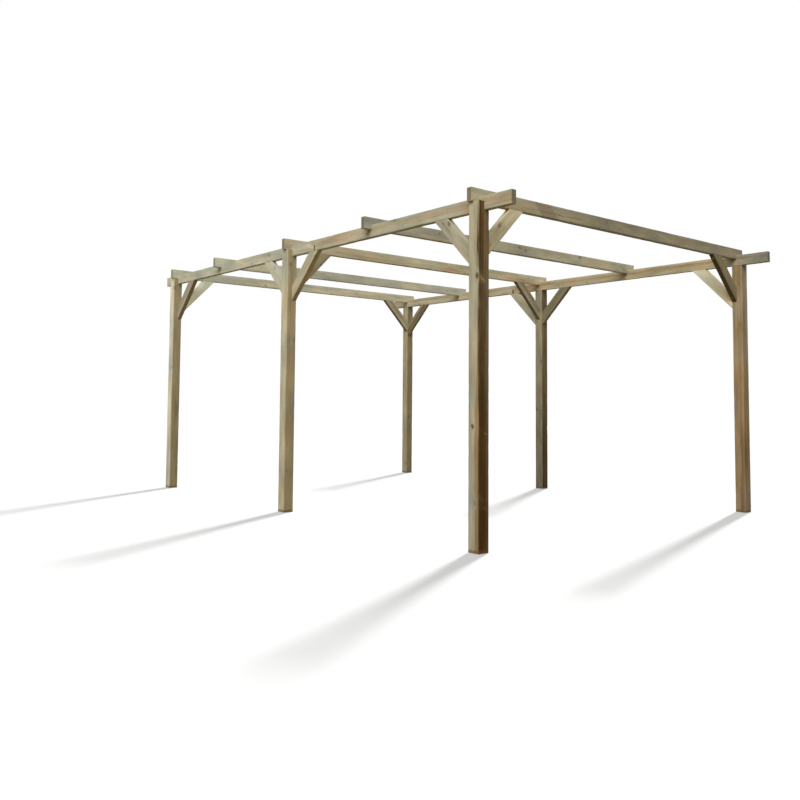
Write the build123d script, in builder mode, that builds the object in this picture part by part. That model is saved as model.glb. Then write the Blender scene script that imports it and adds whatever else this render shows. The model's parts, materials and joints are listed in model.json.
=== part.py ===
"""Open timber carport: six notched posts, two spliced beams, five rafters and knee braces.

Millimetres, +Z up, +Y from the front to the back along the bay, +X to the right.
The origin is on the ground, in the middle of the frame's length and width.
"""
from build123d import *
import math
import os

os.makedirs("parts", exist_ok=True)

# Plan of the bay, over the outer faces of the posts
bay_width = 3500
bay_length = 4800

# Square posts, with half of the head cut away for the beam
post_side = 95
seat_height = 2250

# Beams along the two long sides
beam_thickness = 45
beam_depth = 95
front_overhang = 240
rear_overhang = 205

# Half-lap where each beam is made up of two lengths
splice_length = 48
splice_gap = 3
lower_lip_gap = 20

# Rafters across the bay, notched down over both beams
rafter_thickness = 45
rafter_depth = 95
rafter_notch_depth = 35
rafter_notch_play = 1
rafter_overhang = 20
fourth_rafter_setback = 150

# Knee braces at 45 degrees between posts and beams or rafters
brace_thickness = 45
brace_depth = 95
brace_reach = 395

# Planed arrises
post_arris = 4
rail_arris = 3

# Heights and lengths that follow
tongue_height = beam_depth - rafter_notch_depth
tongue_thickness = post_side - beam_thickness
rafter_underside = seat_height + tongue_height
beam_length = front_overhang + bay_length + rear_overhang
rafter_length = bay_width + 2 * rafter_overhang
brace_cut = brace_depth * math.sqrt(2)
brace_midline_reach = brace_reach - brace_cut / 2

# Places along the bay
frame_front = -beam_length / 2
frame_rear = beam_length / 2
front_post_y = frame_front + front_overhang
rear_post_y = front_post_y + bay_length - post_side
middle_post_y = (front_post_y + rear_post_y) / 2

# Places across the bay: the beams stand flush with the inner faces of the posts
post_x = (bay_width - post_side) / 2
beam_x = bay_width / 2 - tongue_thickness - beam_thickness / 2
inner_face_x = bay_width / 2 - post_side

# Directions
to_right = Vector(1, 0, 0)
to_back = Vector(0, 1, 0)
upward = Vector(0, 0, 1)

sides = {"left": -1, "right": 1}
post_rows = {"front": front_post_y, "middle": middle_post_y, "rear": rear_post_y}

# Near faces of the rafters: the end rafters stand over the inner halves of the corner posts
front_rafter_y = front_post_y + post_side - rafter_thickness
middle_rafter_y = middle_post_y + (post_side - rafter_thickness) / 2
rear_rafter_y = rear_post_y
rafter_rows = {
    "front": front_rafter_y,
    "second": (front_rafter_y + middle_rafter_y) / 2,
    "middle": middle_rafter_y,
    "fourth": (middle_rafter_y + rear_rafter_y) / 2 + fourth_rafter_setback,
    "rear": rear_rafter_y,
}


def finish(piece, name):
    """Label a finished piece and write it as its own file."""
    piece.label = name
    export_step(piece, f"parts/{name}.step")


def make_post(name, side, near_y):
    """A square post whose head keeps an outer tongue beside the beam's seat."""
    foot = Plane(origin=(side * post_x, near_y + post_side / 2, 0))
    seat = Plane(origin=(side * beam_x, near_y + post_side / 2, seat_height))
    with BuildPart() as post:
        with BuildSketch(foot):
            RectangleRounded(post_side, post_side, post_arris)
        extrude(amount=rafter_underside)
        with BuildSketch(seat):
            Rectangle(beam_thickness, post_side)
        extrude(amount=tongue_height, mode=Mode.SUBTRACT)
    finish(post.part, name)


def make_beam(name, side, near_y, far_y, lap_y, lap_below):
    """One length of a beam, with the half that its neighbour's lap takes cut away at lap_y.

    The length keeps its lower half in the lap where lap_below is true, else its upper half.
    """
    near_end = Plane(
        origin=(side * beam_x, near_y, seat_height + beam_depth / 2),
        x_dir=to_right,
        z_dir=to_back,
    )
    lap_height = seat_height + beam_depth / 2 if lap_below else seat_height
    lap_bed = Plane(origin=(side * beam_x, lap_y, lap_height))
    with BuildPart() as beam:
        with BuildSketch(near_end):
            RectangleRounded(beam_thickness, beam_depth, rail_arris)
        extrude(amount=far_y - near_y)
        with BuildSketch(lap_bed):
            Rectangle(beam_thickness, splice_length)
        extrude(amount=beam_depth / 2, mode=Mode.SUBTRACT)
    finish(beam.part, name)


def make_beam_line(side_name, lap_y, lower_length):
    """Both lengths of one side's beam; lower_length names the one whose lap lies below.

    The upper lip nearly fills its half of the lap, and the lower one stops shorter.
    """
    side = sides[side_name]
    front_below = lower_length == "front"
    front_gap = lower_lip_gap if front_below else splice_gap
    rear_gap = splice_gap if front_below else lower_lip_gap
    front_end = lap_y + splice_length / 2 - front_gap
    rear_end = lap_y - splice_length / 2 + rear_gap
    make_beam(f"beam_{side_name}_front", side, frame_front, front_end, lap_y, front_below)
    make_beam(f"beam_{side_name}_rear", side, rear_end, frame_rear, lap_y, not front_below)


def make_rafter(name, near_y):
    """A rafter across the bay, notched down over both beams."""
    left_end = Plane(
        origin=(-rafter_length / 2, near_y + rafter_thickness / 2, rafter_underside + rafter_depth / 2),
        x_dir=to_back,
        z_dir=to_right,
    )
    underside = Plane(origin=(0, near_y + rafter_thickness / 2, rafter_underside))
    with BuildPart() as rafter:
        with BuildSketch(left_end):
            RectangleRounded(rafter_thickness, rafter_depth, rail_arris)
        extrude(amount=rafter_length)
        with BuildSketch(underside):
            with GridLocations(2 * beam_x, 0, len(sides), 1):
                Rectangle(beam_thickness + 2 * rafter_notch_play, rafter_thickness)
        extrude(amount=rafter_notch_depth, mode=Mode.SUBTRACT)
    finish(rafter.part, name)


def make_brace(name, corner, outward):
    """A knee brace mitred into the corner between a post's face and the member above it."""
    run = (outward + upward).normalized()
    middle = corner + (outward - upward) * (brace_midline_reach / 2)
    section = Plane(origin=middle, x_dir=outward.cross(upward), z_dir=run)
    post_face = Plane(origin=corner, z_dir=outward)
    member_face = Plane(origin=corner, z_dir=upward)
    with BuildPart() as brace:
        with BuildSketch(section):
            RectangleRounded(brace_thickness, brace_depth, rail_arris)
        extrude(amount=brace_reach, both=True)
        split(bisect_by=post_face, keep=Keep.TOP)
        split(bisect_by=member_face, keep=Keep.BOTTOM)
    finish(brace.part, name)


# Posts and the braces at their heads
for side_name, side in sides.items():
    for row_name, near_y in post_rows.items():
        place = f"{side_name}_{row_name}"
        make_post(f"post_{place}", side, near_y)

        rafter_mid_y = rafter_rows[row_name] + rafter_thickness / 2
        rafter_corner = Vector(side * inner_face_x, rafter_mid_y, rafter_underside)
        make_brace(f"brace_{place}_rafter", rafter_corner, to_right * -side)

        if row_name != "front":
            front_corner = Vector(side * beam_x, near_y, seat_height)
            make_brace(f"brace_{place}_forward", front_corner, to_back * -1)
        if row_name != "rear":
            back_corner = Vector(side * beam_x, near_y + post_side, seat_height)
            make_brace(f"brace_{place}_backward", back_corner, to_back)

# Beams: each lap rests over the head of a brace at the middle post
make_beam_line("left", middle_post_y - brace_midline_reach, "rear")
make_beam_line("right", middle_post_y + post_side + brace_midline_reach, "front")

# Rafters
for row_name, near_y in rafter_rows.items():
    make_rafter(f"rafter_{row_name}", near_y)
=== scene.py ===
"""Timber carport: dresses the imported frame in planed, pressure-treated pine.

Every post, beam, rafter and brace is skinned with a fine mesh of its own section: eased arrises with
knocks in them, drying checks, notches, laps and mitres. Each one has its own pith, heartwood and knots.
"""

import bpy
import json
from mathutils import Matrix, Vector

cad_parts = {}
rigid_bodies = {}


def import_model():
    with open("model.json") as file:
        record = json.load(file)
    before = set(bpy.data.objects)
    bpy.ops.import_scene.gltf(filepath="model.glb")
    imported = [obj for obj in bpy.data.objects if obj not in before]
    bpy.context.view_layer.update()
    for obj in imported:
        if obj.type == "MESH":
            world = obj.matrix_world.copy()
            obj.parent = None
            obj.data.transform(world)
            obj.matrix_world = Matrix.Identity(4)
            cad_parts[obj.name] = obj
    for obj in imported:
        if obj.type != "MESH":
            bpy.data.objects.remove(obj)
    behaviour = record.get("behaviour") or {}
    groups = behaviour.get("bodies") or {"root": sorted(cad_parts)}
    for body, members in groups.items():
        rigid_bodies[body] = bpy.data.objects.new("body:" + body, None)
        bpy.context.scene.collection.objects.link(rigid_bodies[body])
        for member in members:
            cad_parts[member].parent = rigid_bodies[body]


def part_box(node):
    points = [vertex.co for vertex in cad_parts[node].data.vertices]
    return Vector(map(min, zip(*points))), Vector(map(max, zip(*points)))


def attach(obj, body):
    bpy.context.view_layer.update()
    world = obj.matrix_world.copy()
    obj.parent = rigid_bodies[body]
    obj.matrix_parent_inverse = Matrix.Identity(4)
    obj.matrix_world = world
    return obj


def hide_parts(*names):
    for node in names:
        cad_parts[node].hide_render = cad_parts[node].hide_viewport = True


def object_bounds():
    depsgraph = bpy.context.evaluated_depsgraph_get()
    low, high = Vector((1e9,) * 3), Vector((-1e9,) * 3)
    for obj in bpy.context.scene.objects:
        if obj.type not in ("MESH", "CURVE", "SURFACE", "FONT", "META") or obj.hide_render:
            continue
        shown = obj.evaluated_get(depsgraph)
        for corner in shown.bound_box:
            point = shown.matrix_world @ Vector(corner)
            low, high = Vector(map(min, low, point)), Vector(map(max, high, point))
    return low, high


bl_info = {
    "name": "Timber carport",
    "version": (1, 0, 0),
    "blender": (4, 5, 0),
    "location": "3D View > Sidebar > Carport",
    "description": "Dresses an open timber carport frame in treated pine, with its screws and a plain stage",
    "category": "Object",
}

import json
import math
import random
from collections import namedtuple

import bpy
import numpy as np
from mathutils import Matrix, Vector

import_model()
cad_low, cad_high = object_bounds()

SIDES = {"left": -1, "right": 1}
POST_ROWS = ("front", "middle", "rear")
BEAM_ROWS = ("front", "rear")
RAFTER_ROWS = ("front", "second", "middle", "fourth", "rear")

# Numbers of the axes, and the directions in which they point
X, Y, Z = range(3)
DIRECTIONS = ((1, 0, 0), (0, 1, 0), (0, 0, 1))
UP = Vector(DIRECTIONS[Z])

# The length of each side's beam that lies below in the lap
LOWER_LENGTH = {"left": "rear", "right": "front"}

# Outward direction of each face of a section, in its wide and thin ways
FACES = ((1, 0), (0, 1), (-1, 0), (0, -1))

# What is kept of a section: its lowest and highest places in the wide way and in the thin way
NO_CUT = (-math.inf, math.inf, -math.inf, math.inf)

# How a timber was sawn: place of the pith as shares of the half section, radius of the heartwood in
# metres, how dark (or, below 0, how rosy) the heartwood is, how green (or, below 0, how tan) the treatment
# left the rest, its own tone, what changes at the foot or near end (the share of the tone, and what is
# added to the others), how much paler it is on its left than on its front, which is painted light, how
# much greener it is on its left than on its front, and how much its heartwood darkens to the left
Cut = namedtuple("Cut", "pith_wide pith_thin heart_radius heart_depth green tone near_tone near_green "
                 "near_radius near_depth lean green_lean heart_lean",
                 defaults=(1.0, 0.0, 0.0, 0.0, 0.0, 0.0, 0.0))

# A drying check: its face, its offset from the face's middle, where it starts and ends along the timber, its
# depth and width at its middle, and the phase of its waves
Check = namedtuple("Check", "face offset start end depth width phase")

# A knot: the turn of its branch about the pith, its place along the timber, its radius and how dark it is
Knot = namedtuple("Knot", "turn place radius depth")

# A knock in an arris: the corner of the section, its place along the timber, its reach and its depth
Bite = namedtuple("Bite", "corner place reach depth")

# A branch climbs by this share of its way out from the pith; its knot's place holds at this distance, and
# its radius at the next one, with the least and the most that a tapering branch has of it
BRANCH_CLIMB = 0.55
KNOT_REACH = 0.05
TAPER_REACH = 0.065
TAPER_LIMITS = (0.2, 1.1)

# A face whose nearest knot is farther off than this gets one too small to see
FARTHEST_KNOT = 0.5
UNSEEN_KNOT = 1e-4

# Share of the drawn knots that are dead and dark, and the usual distance between knocks along an arris
DEAD_KNOTS = 0.02
KNOCK_GAP = 0.28

# The longest drawn check, and the length kept clear at each end, as shares of the timber
LONGEST_CHECK = 0.8
END_CLEAR = 0.05

# Length of stem in which a timber's own stretch of grain starts
STEM_LENGTH = 40.0

# How sharply the left of a timber, painted paler as light and made greener, parts from its front at the
# arris between them
LEAN_STEEP = 3.0

# Shares of the half width: where an underside starts, with its painted light and shade, over how much it
# sets in, and where the green along an edge starts; then the share of that green on the lower edge
UNDERSIDE_START = 0.93
UNDERSIDE_BLEND = 0.05
EDGE_START = 0.4
LOWER_EDGE_GREEN = 0.5

# Marks of wear: where a face meets an arris, all along an arris, and where it was knocked
FACE_EDGE_MARK = 0.45
ARRIS_WEAR = 0.35
KNOCK_WEAR = 0.65

# A check swells to its middle by this power, and closes by this share of its width towards its ends; its
# waves are given by how far they stray, their radians a metre and the multiple of the check's phase
CHECK_SWELL = 0.7
CHECK_CLOSE = 0.35
CHECK_WAVES = ((0.0011, 19.0, 1), (0.0006, 47.0, 2))

# Rings of points over a sawn end, as shares of its outline
CAP_SHARES = (0.7, 0.36)

# Points merge on a grid with this many steps a metre
MERGE_STEPS = 1e7

# Edges sharper than these aren't smoothed over
TIMBER_SHARP = math.radians(38)
SCREW_SHARP = math.radians(30)

# How each timber was sawn
SAWN = {
    "post_left_front": Cut(0.55, -1.15, 0.077, 0.62, 0.20, 1.00, 0.90, 0.60, 0.009, 0.52,
                           heart_lean=0.25),
    "post_left_middle": Cut(0.20, 0.60, 0.030, 0.00, 0.10, 1.16, 0.81, -0.60, lean=0.08, green_lean=1.4),
    "post_left_rear": Cut(0.50, 0.90, 0.030, 0.00, 0.30, 1.32, 0.80, lean=0.48, green_lean=2.4),
    "post_right_front": Cut(-0.70, -0.45, 0.058, -0.16, 0.55, 0.95, 0.80, -1.45, 0.025, 0.34, lean=0.20,
                            green_lean=-0.4),
    "post_right_middle": Cut(0.20, -0.80, 0.052, 0.26, 0.10, 0.68, 0.49, -0.10, 0.0, 0.16),
    "post_right_rear": Cut(-0.20, 0.50, 0.030, 0.00, -0.80, 0.88, 0.86, lean=0.22, green_lean=1.0),
    "beam_left_front": Cut(0.10, -2.60, 0.039, -0.90, 0.35, 1.07, 0.80, -0.70),
    "beam_left_rear": Cut(-0.60, 2.80, 0.030, 0.10, 1.00, 1.28),
    "beam_right_front": Cut(0.20, -2.50, 0.037, -0.20, -0.40, 1.00, 0.65, 1.80),
    "beam_right_rear": Cut(0.40, -2.60, 0.038, -0.50, 0.10, 0.96),
    "rafter_front": Cut(-0.20, -2.20, 0.030, 0.20, 0.00, 0.665, 1.62),
    "rafter_second": Cut(0.30, -2.60, 0.030, 0.15, 0.55, 1.14, 0.93, 2.0),
    "rafter_middle": Cut(-0.50, 2.70, 0.039, -0.50, 0.10, 1.25, 1.02, 0.8),
    "rafter_fourth": Cut(0.20, -2.80, 0.030, 0.10, 2.20, 1.45, 1.08, -1.2),
    "rafter_rear": Cut(0.10, -2.40, 0.030, 0.10, 0.75, 1.50, 1.03, 1.2),
    # The tones of the left rafter braces and the right backward braces are partly painted light, raised
    # against the shade that the posts and beams cast on them
    "brace_left_front_rafter": Cut(0.20, 2.00, 0.026, 0.05, -0.15, 1.55),
    "brace_left_front_backward": Cut(0.20, -2.20, 0.026, 0.05, 0.30, 0.97),
    "brace_left_middle_forward": Cut(0.30, 2.20, 0.026, 0.05, 0.35, 1.14),
    "brace_left_middle_backward": Cut(0.30, -2.20, 0.026, 0.05, 0.75, 1.36),
    "brace_left_middle_rafter": Cut(-0.20, 1.80, 0.030, 0.10, -0.80, 1.03),
    "brace_left_rear_forward": Cut(-0.20, 2.10, 0.080, -0.80, 0.60, 0.95),
    "brace_left_rear_rafter": Cut(0.20, 2.20, 0.030, 0.10, 1.80, 2.04),
    "brace_right_front_rafter": Cut(1.25, -1.20, 0.045, 0.25, -1.10, 0.69),
    "brace_right_front_backward": Cut(0.20, -2.10, 0.026, 0.05, 0.80, 1.66),
    "brace_right_middle_rafter": Cut(-0.30, 1.90, 0.030, 0.00, 0.25, 0.86),
    "brace_right_middle_forward": Cut(0.20, 1.90, 0.030, 0.15, -0.60, 0.55),
    "brace_right_middle_backward": Cut(0.20, 2.20, 0.026, 0.00, 0.40, 1.11),
    "brace_right_rear_forward": Cut(0.40, -1.90, 0.030, 0.10, -0.10, 0.54),
    "brace_right_rear_rafter": Cut(-0.20, 2.30, 0.030, 0.00, 0.00, 0.92),
}

# Knots that stand out
KNOWN_KNOTS = {
    "post_left_front": (Knot(2.84, 1.792, 0.011, 1.0), Knot(2.44, 0.793, 0.008, 1.0),
                        Knot(2.65, 0.307, 0.009, 0.3)),
    "rafter_second": (Knot(1.515, 1.762, 0.010, 0.4), Knot(1.418, 2.626, 0.011, 0.5)),
    "brace_left_front_rafter": (Knot(-2.117, 0.233, 0.009, 0.4),),
    "brace_left_front_backward": (Knot(2.078, 0.359, 0.009, 0.7),),
}

# Drying checks that stand out
KNOWN_CHECKS = {"post_left_front": (Check(3, -0.036, 0.95, 2.22, 0.009, 0.007, 0.6),)}

# Painted light and shade on an underside: the share of the tone and the green that is added there, which
# stand in for the light that reaches it
UNDERSIDE_PAINTED_LIGHT = {
    "brace_right_front_rafter": (0.56, -0.90),
    "brace_right_middle_rafter": (0.64, -0.90),
    "brace_right_rear_rafter": (0.64, -0.60),
    "brace_right_middle_forward": (1.35, 0.20),
    "brace_right_rear_forward": (1.40, 0.20),
}
RAIL_UNDERSIDE_PAINTED_LIGHT = (1.15, 1.00)

# A diagonal band that a strap kept clean: its middle along the timber, half its width, and its slant
Strap = namedtuple("Strap", "place half_width slant")
STRAPS = {"rafter_front": Strap(0.758, 0.092, -0.95)}

# Added to an offset from a strap's middle, so that 0, on a timber without one, is far from it
STRAP_BASE = 10.0

# The wood of each kind of timber: pitch of the growth rings and wander of the pith in metres, how weathered
# it is, distance between whorls of knots, radius of the smallest and the largest knot, number of drying
# checks, length of the shortest and the longest one, height of the darkening at a post's foot, how far a
# change at the near end reaches, green along the edges, which way across it the underside lies, and the
# painted light and shade there
Wood = namedtuple("Wood", "ring_pitch wander weather whorl_gap knot_sizes check_count check_reach splash "
                  "fade edge_green under underside",
                  defaults=(0, (0.0, 0.0), 0.0, 0.3, 0.0, -1.0, (1.0, 0.0)))
WOODS = {
    "post": Wood(0.0042, 0.022, 0.55, 0.52, (0.006, 0.013), 3, (0.35, 1.5), splash=0.03, fade=1.3),
    "beam": Wood(0.0036, 0.018, 0.70, 0.48, (0.005, 0.011), 2, (0.30, 1.1), edge_green=0.7,
                 underside=RAIL_UNDERSIDE_PAINTED_LIGHT),
    "rafter": Wood(0.0038, 0.018, 0.90, 0.46, (0.005, 0.011), 2, (0.30, 1.2), fade=0.9, edge_green=0.7,
                   underside=RAIL_UNDERSIDE_PAINTED_LIGHT),
    "brace": Wood(0.0034, 0.010, 0.45, 0.22, (0.004, 0.009), under=1.0),
}

# Broad lights on the frame: where each one stands from it, and how wide it is in degrees
BroadLight = namedtuple("BroadLight", "toward spread")
KEY = BroadLight((-0.56, -0.33, 0.56), 45.0)
FILL = BroadLight((0.60, 0.50, 0.60), 60.0)

# Low lights that cast the shadows on the floor: how far each one stands round from the right towards the
# back, how high it stands and how wide it is, in degrees, and the posts whose shadows it casts
LowLight = namedtuple("LowLight", "turn height spread posts")
CORNER_POST = "post_right_front"
OTHER_POSTS = tuple(name for name in SAWN if name.startswith("post_") and name != CORNER_POST)
LOW_LIGHTS = {
    "Shadows": LowLight(28.0, 42.0, 6.0, OTHER_POSTS),
    "Corner shadow": LowLight(17.0, 30.0, 3.5, (CORNER_POST,)),
}

# How far the floor lies below the posts' feet, and how far the camera sees, in metres
FLOOR_DROP = 0.0005
VIEW_REACH = 200.0

# Width of the camera's sensor in millimetres
SENSOR_WIDTH = 36.0


class CarportTimberSizes(bpy.types.PropertyGroup):
    """Sizes of the timbers' joints and surfaces."""

    post_arris: bpy.props.FloatProperty(
        name="Post arris", description="Radius of the posts' planed edges", default=0.004, unit="LENGTH")
    rail_arris: bpy.props.FloatProperty(
        name="Rail arris", description="Radius of the edges of beams, rafters and braces", default=0.003,
        unit="LENGTH")
    splice_gap: bpy.props.FloatProperty(
        name="Splice gap", description="Gap at the end of the upper lip of a beam's lap", default=0.003,
        unit="LENGTH")
    lower_lip_gap: bpy.props.FloatProperty(
        name="Lower lip gap", description="Gap at the end of the lower lip of a beam's lap", default=0.02,
        unit="LENGTH")
    notch_play: bpy.props.FloatProperty(
        name="Notch play", description="Play between a beam and the sides of a rafter's notch",
        default=0.001, unit="LENGTH")
    brace_depth: bpy.props.FloatProperty(
        name="Brace depth", description="Wide side of a brace's section", default=0.095, unit="LENGTH")
    end_ease: bpy.props.FloatProperty(
        name="End ease", description="Width of the worn edge round a sawn end", default=0.0015,
        unit="LENGTH")
    knock_depth: bpy.props.FloatProperty(
        name="Knock depth", description="Depth of the deepest knock in an arris", default=0.0028,
        unit="LENGTH")
    check_width: bpy.props.FloatProperty(
        name="Check width", description="Width of a drying check at its middle", default=0.0024,
        unit="LENGTH")
    check_depth: bpy.props.FloatProperty(
        name="Check depth", description="Depth of a drying check at its middle", default=0.007,
        unit="LENGTH")
    station_pitch: bpy.props.FloatProperty(
        name="Station pitch", description="Distance between rings of points along a timber",
        default=0.022, unit="LENGTH")
    face_pitch: bpy.props.FloatProperty(
        name="Face pitch", description="Distance between points across a face", default=0.0085,
        unit="LENGTH")
    arris_steps: bpy.props.IntProperty(
        name="Arris steps", description="Facets round each planed edge", default=4, min=2)


class CarportFinish(bpy.types.PropertyGroup):
    """Colours of the treated pine and its fixings."""

    sap_pale: bpy.props.FloatVectorProperty(
        name="Pale sapwood", description="Early wood of the sapwood", subtype="COLOR",
        default=(0.55, 0.505, 0.345))
    sap_tan: bpy.props.FloatVectorProperty(
        name="Tan sapwood", description="Late wood and streaks of the sapwood", subtype="COLOR",
        default=(0.365, 0.30, 0.158))
    rosy: bpy.props.FloatVectorProperty(
        name="Rosy sapwood", description="Sapwood between the knots", subtype="COLOR",
        default=(0.47, 0.355, 0.23))
    heart_tan: bpy.props.FloatVectorProperty(
        name="Tan heartwood", description="Heartwood that took little treatment", subtype="COLOR",
        default=(0.345, 0.24, 0.118))
    heart_brown: bpy.props.FloatVectorProperty(
        name="Brown heartwood", description="Darkest heartwood", subtype="COLOR",
        default=(0.075, 0.037, 0.006))
    treatment: bpy.props.FloatVectorProperty(
        name="Treatment", description="Green cast of the preservative", subtype="COLOR",
        default=(0.33, 0.35, 0.293))
    knot_brown: bpy.props.FloatVectorProperty(
        name="Knot", description="Dark core of a knot", subtype="COLOR", default=(0.075, 0.055, 0.030))
    weathered: bpy.props.FloatVectorProperty(
        name="Weathered", description="Grey of worn and rained-on wood", subtype="COLOR",
        default=(0.38, 0.35, 0.285))
    # Painted shade at the bottom of each drying check; the same dark draws the splits in sawn ends and the
    # specks of dirt
    crack_dark: bpy.props.FloatVectorProperty(
        name="Crack", description="Dark inside of a drying check", subtype="COLOR",
        default=(0.030, 0.020, 0.011))
    end_grey: bpy.props.FloatVectorProperty(
        name="End grain", description="Dark grey of a sawn end", subtype="COLOR",
        default=(0.15, 0.125, 0.085))
    # Colour that a post darkens towards at its foot
    footing_colour: bpy.props.FloatVectorProperty(
        name="Footing", description="Graded stain at the foot of a post", subtype="COLOR",
        default=(0.15, 0.085, 0.050))
    zinc: bpy.props.FloatVectorProperty(
        name="Zinc", description="Plating of the screws", subtype="COLOR", default=(0.24, 0.21, 0.15))


class CarportFixings(bpy.types.PropertyGroup):
    """Sizes of the wood screws."""

    head_diameter: bpy.props.FloatProperty(
        name="Head diameter", description="Diameter of a screw's flat head", default=0.010,
        unit="LENGTH")
    head_rise: bpy.props.FloatProperty(
        name="Head rise", description="How far a driven head stands above the wood", default=0.0008,
        unit="LENGTH")
    recess_depth: bpy.props.FloatProperty(
        name="Recess depth", description="Depth of the six-lobed recess", default=0.0007, unit="LENGTH")
    edge_distance: bpy.props.FloatProperty(
        name="Edge distance", description="Distance from a screw to the edge or end of the wood",
        default=0.025, unit="LENGTH")


class CarportStage(bpy.types.PropertyGroup):
    """Floor, lights and camera."""

    floor_size: bpy.props.FloatProperty(
        name="Floor size", description="Side of the square floor", default=120.0, unit="LENGTH")
    floor_colour: bpy.props.FloatVectorProperty(
        name="Floor", description="Colour of the pale floor", subtype="COLOR", default=(0.44, 0.44, 0.44))
    bounce_colour: bpy.props.FloatVectorProperty(
        name="Bounce", description="Colour that the floor throws back up", subtype="COLOR",
        default=(0.085, 0.055, 0.015))
    sky_colour: bpy.props.FloatVectorProperty(
        name="Sky", description="Colour of the soft light from all round", subtype="COLOR",
        default=(1.0, 0.98, 0.94))
    sky_strength: bpy.props.FloatProperty(
        name="Sky strength", description="Level of the soft light from all round", default=0.42)
    key_strength: bpy.props.FloatProperty(
        name="Key strength", description="Level of the broad light on the left", default=2.7)
    fill_strength: bpy.props.FloatProperty(
        name="Fill strength", description="Level of the broad light behind on the right", default=1.7)
    shadow_strength: bpy.props.FloatProperty(
        name="Shadow strength", description="Level on the floor of each low light that casts shadows on it",
        default=3.1)
    camera_place: bpy.props.FloatVectorProperty(
        name="Camera place", description="Where the camera stands", subtype="XYZ", unit="LENGTH",
        default=(-5.5743, -6.1454, 0.9918))
    camera_yaw: bpy.props.FloatProperty(
        name="Camera yaw", description="Turn of the view from the long side towards the right",
        subtype="ANGLE", default=0.66913)
    camera_pitch: bpy.props.FloatProperty(
        name="Camera pitch", description="Upward tilt of the view", subtype="ANGLE", default=0.06141)
    camera_roll: bpy.props.FloatProperty(
        name="Camera roll", description="Turn of the picture about the line of sight", subtype="ANGLE",
        default=0.00958)
    camera_lens: bpy.props.FloatProperty(
        name="Lens", description="Focal length in millimetres on a 36 mm sensor", default=36.82)
    camera_shift: bpy.props.FloatVectorProperty(
        name="Shift", description="Shift of the picture, in widths of it", size=2,
        default=(0.02914, -0.06424))


class Timber:
    """A straight length of planed timber: its wood, its axes, its section and what is cut out of it.

    A place in it is (s, u, v): s along the grain from the near end, u across the wide way and v across
    the thin way, both from the middle of the section.
    """

    def __init__(self, kind, name, near_end, along, wide, length, width, thickness, arris):
        self.kind = kind
        self.wood = WOODS[kind]
        self.name = name
        self.near_end = np.array(near_end)
        self.along = np.array(along)
        self.wide = np.array(wide)
        self.thin = np.cross(self.along, self.wide)
        self.length = length
        self.half_wide = width / 2
        self.half_thin = thickness / 2
        self.arris = arris
        self.spans = [(0.0, length, NO_CUT)]
        self.mitre = 0.0
        self.eased_ends = (True, True)
        self.checks = []
        self.knots = []
        self.bites = []
        self.cut = None
        self.grain_start = 0.0

    def place(self, s, u, v):
        """World places of points given along and across the timber."""
        return (self.near_end + s[..., None] * self.along + u[..., None] * self.wide
                + v[..., None] * self.thin)


def boxed_timber(kind, name, along, wide, arris):
    """A timber that fills its node's box; along and wide are the numbers of the axes that it follows."""
    low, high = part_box(name)
    near_end = [(low[axis] + high[axis]) / 2 for axis in (X, Y, Z)]
    near_end[along] = low[along]
    thin = X + Y + Z - along - wide
    length, width, thickness = (high[axis] - low[axis] for axis in (along, wide, thin))
    return Timber(kind, name, near_end, DIRECTIONS[along], DIRECTIONS[wide], length, width, thickness,
                  arris)


def sawn_cut(name, rng):
    """How a timber was sawn: as SAWN has it, or drawn for one that isn't listed there."""
    drawn = Cut(rng.uniform(-0.9, 0.9), rng.choice((-1, 1)) * rng.uniform(1.9, 2.6),
                rng.uniform(0.022, 0.032), rng.uniform(0.00, 0.15), rng.uniform(0.05, 0.35),
                rng.uniform(0.98, 1.10))
    return SAWN.get(name, drawn)


def draw_knots(rng, timber):
    """Whorls of branch knots along a timber, each with one to three branches."""
    gap = timber.wood.whorl_gap
    knots = []
    place = rng.uniform(0.15, 0.9) * gap
    while place < timber.length:
        turn = rng.uniform(0.0, math.tau)
        for branch in range(rng.randint(1, 3)):
            depth = 1.0 if rng.random() < DEAD_KNOTS else rng.uniform(0.10, 0.42)
            knots.append(Knot(turn + branch * rng.uniform(1.9, 2.5), place + rng.uniform(-0.03, 0.03),
                              rng.uniform(*timber.wood.knot_sizes), depth))
        place += rng.uniform(0.6, 1.4) * gap
    return knots


def draw_checks(rng, timber, sizes):
    """Drying checks along a timber's faces, at most one on a face."""
    checks = []
    for face in rng.sample(range(len(FACES)), timber.wood.check_count):
        across = timber.half_thin if FACES[face][0] else timber.half_wide
        reach = min(rng.uniform(*timber.wood.check_reach), LONGEST_CHECK * timber.length)
        start = rng.uniform(END_CLEAR * timber.length, (1.0 - END_CLEAR) * timber.length - reach)
        share = rng.uniform(0.5, 1.0)
        checks.append(Check(face, rng.uniform(-0.35, 0.35) * across, start, start + reach,
                            share * sizes.check_depth, share * sizes.check_width,
                            rng.uniform(0.0, math.tau)))
    return checks


def draw_bites(rng, timber, sizes):
    """Knocks in the four arrises of a timber."""
    bites = []
    for corner in range(len(FACES)):
        place = rng.uniform(0.0, KNOCK_GAP)
        while place < timber.length:
            bites.append(Bite(corner, place, rng.uniform(0.012, 0.05),
                              rng.uniform(0.15, 1.0) ** 2 * sizes.knock_depth))
            place += rng.uniform(0.3, 1.7) * KNOCK_GAP
    return bites


def give_character(timber, sizes):
    """Draw a timber's own cut, knots, checks and knocks, the same ones each time."""
    rng = random.Random(timber.name)
    timber.cut = sawn_cut(timber.name, rng)
    timber.grain_start = rng.uniform(0.0, STEM_LENGTH)
    timber.knots = draw_knots(rng, timber)
    timber.knots += KNOWN_KNOTS.get(timber.name, ())
    timber.checks = draw_checks(rng, timber, sizes)
    timber.checks += KNOWN_CHECKS.get(timber.name, ())
    timber.bites = draw_bites(rng, timber, sizes)


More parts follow.
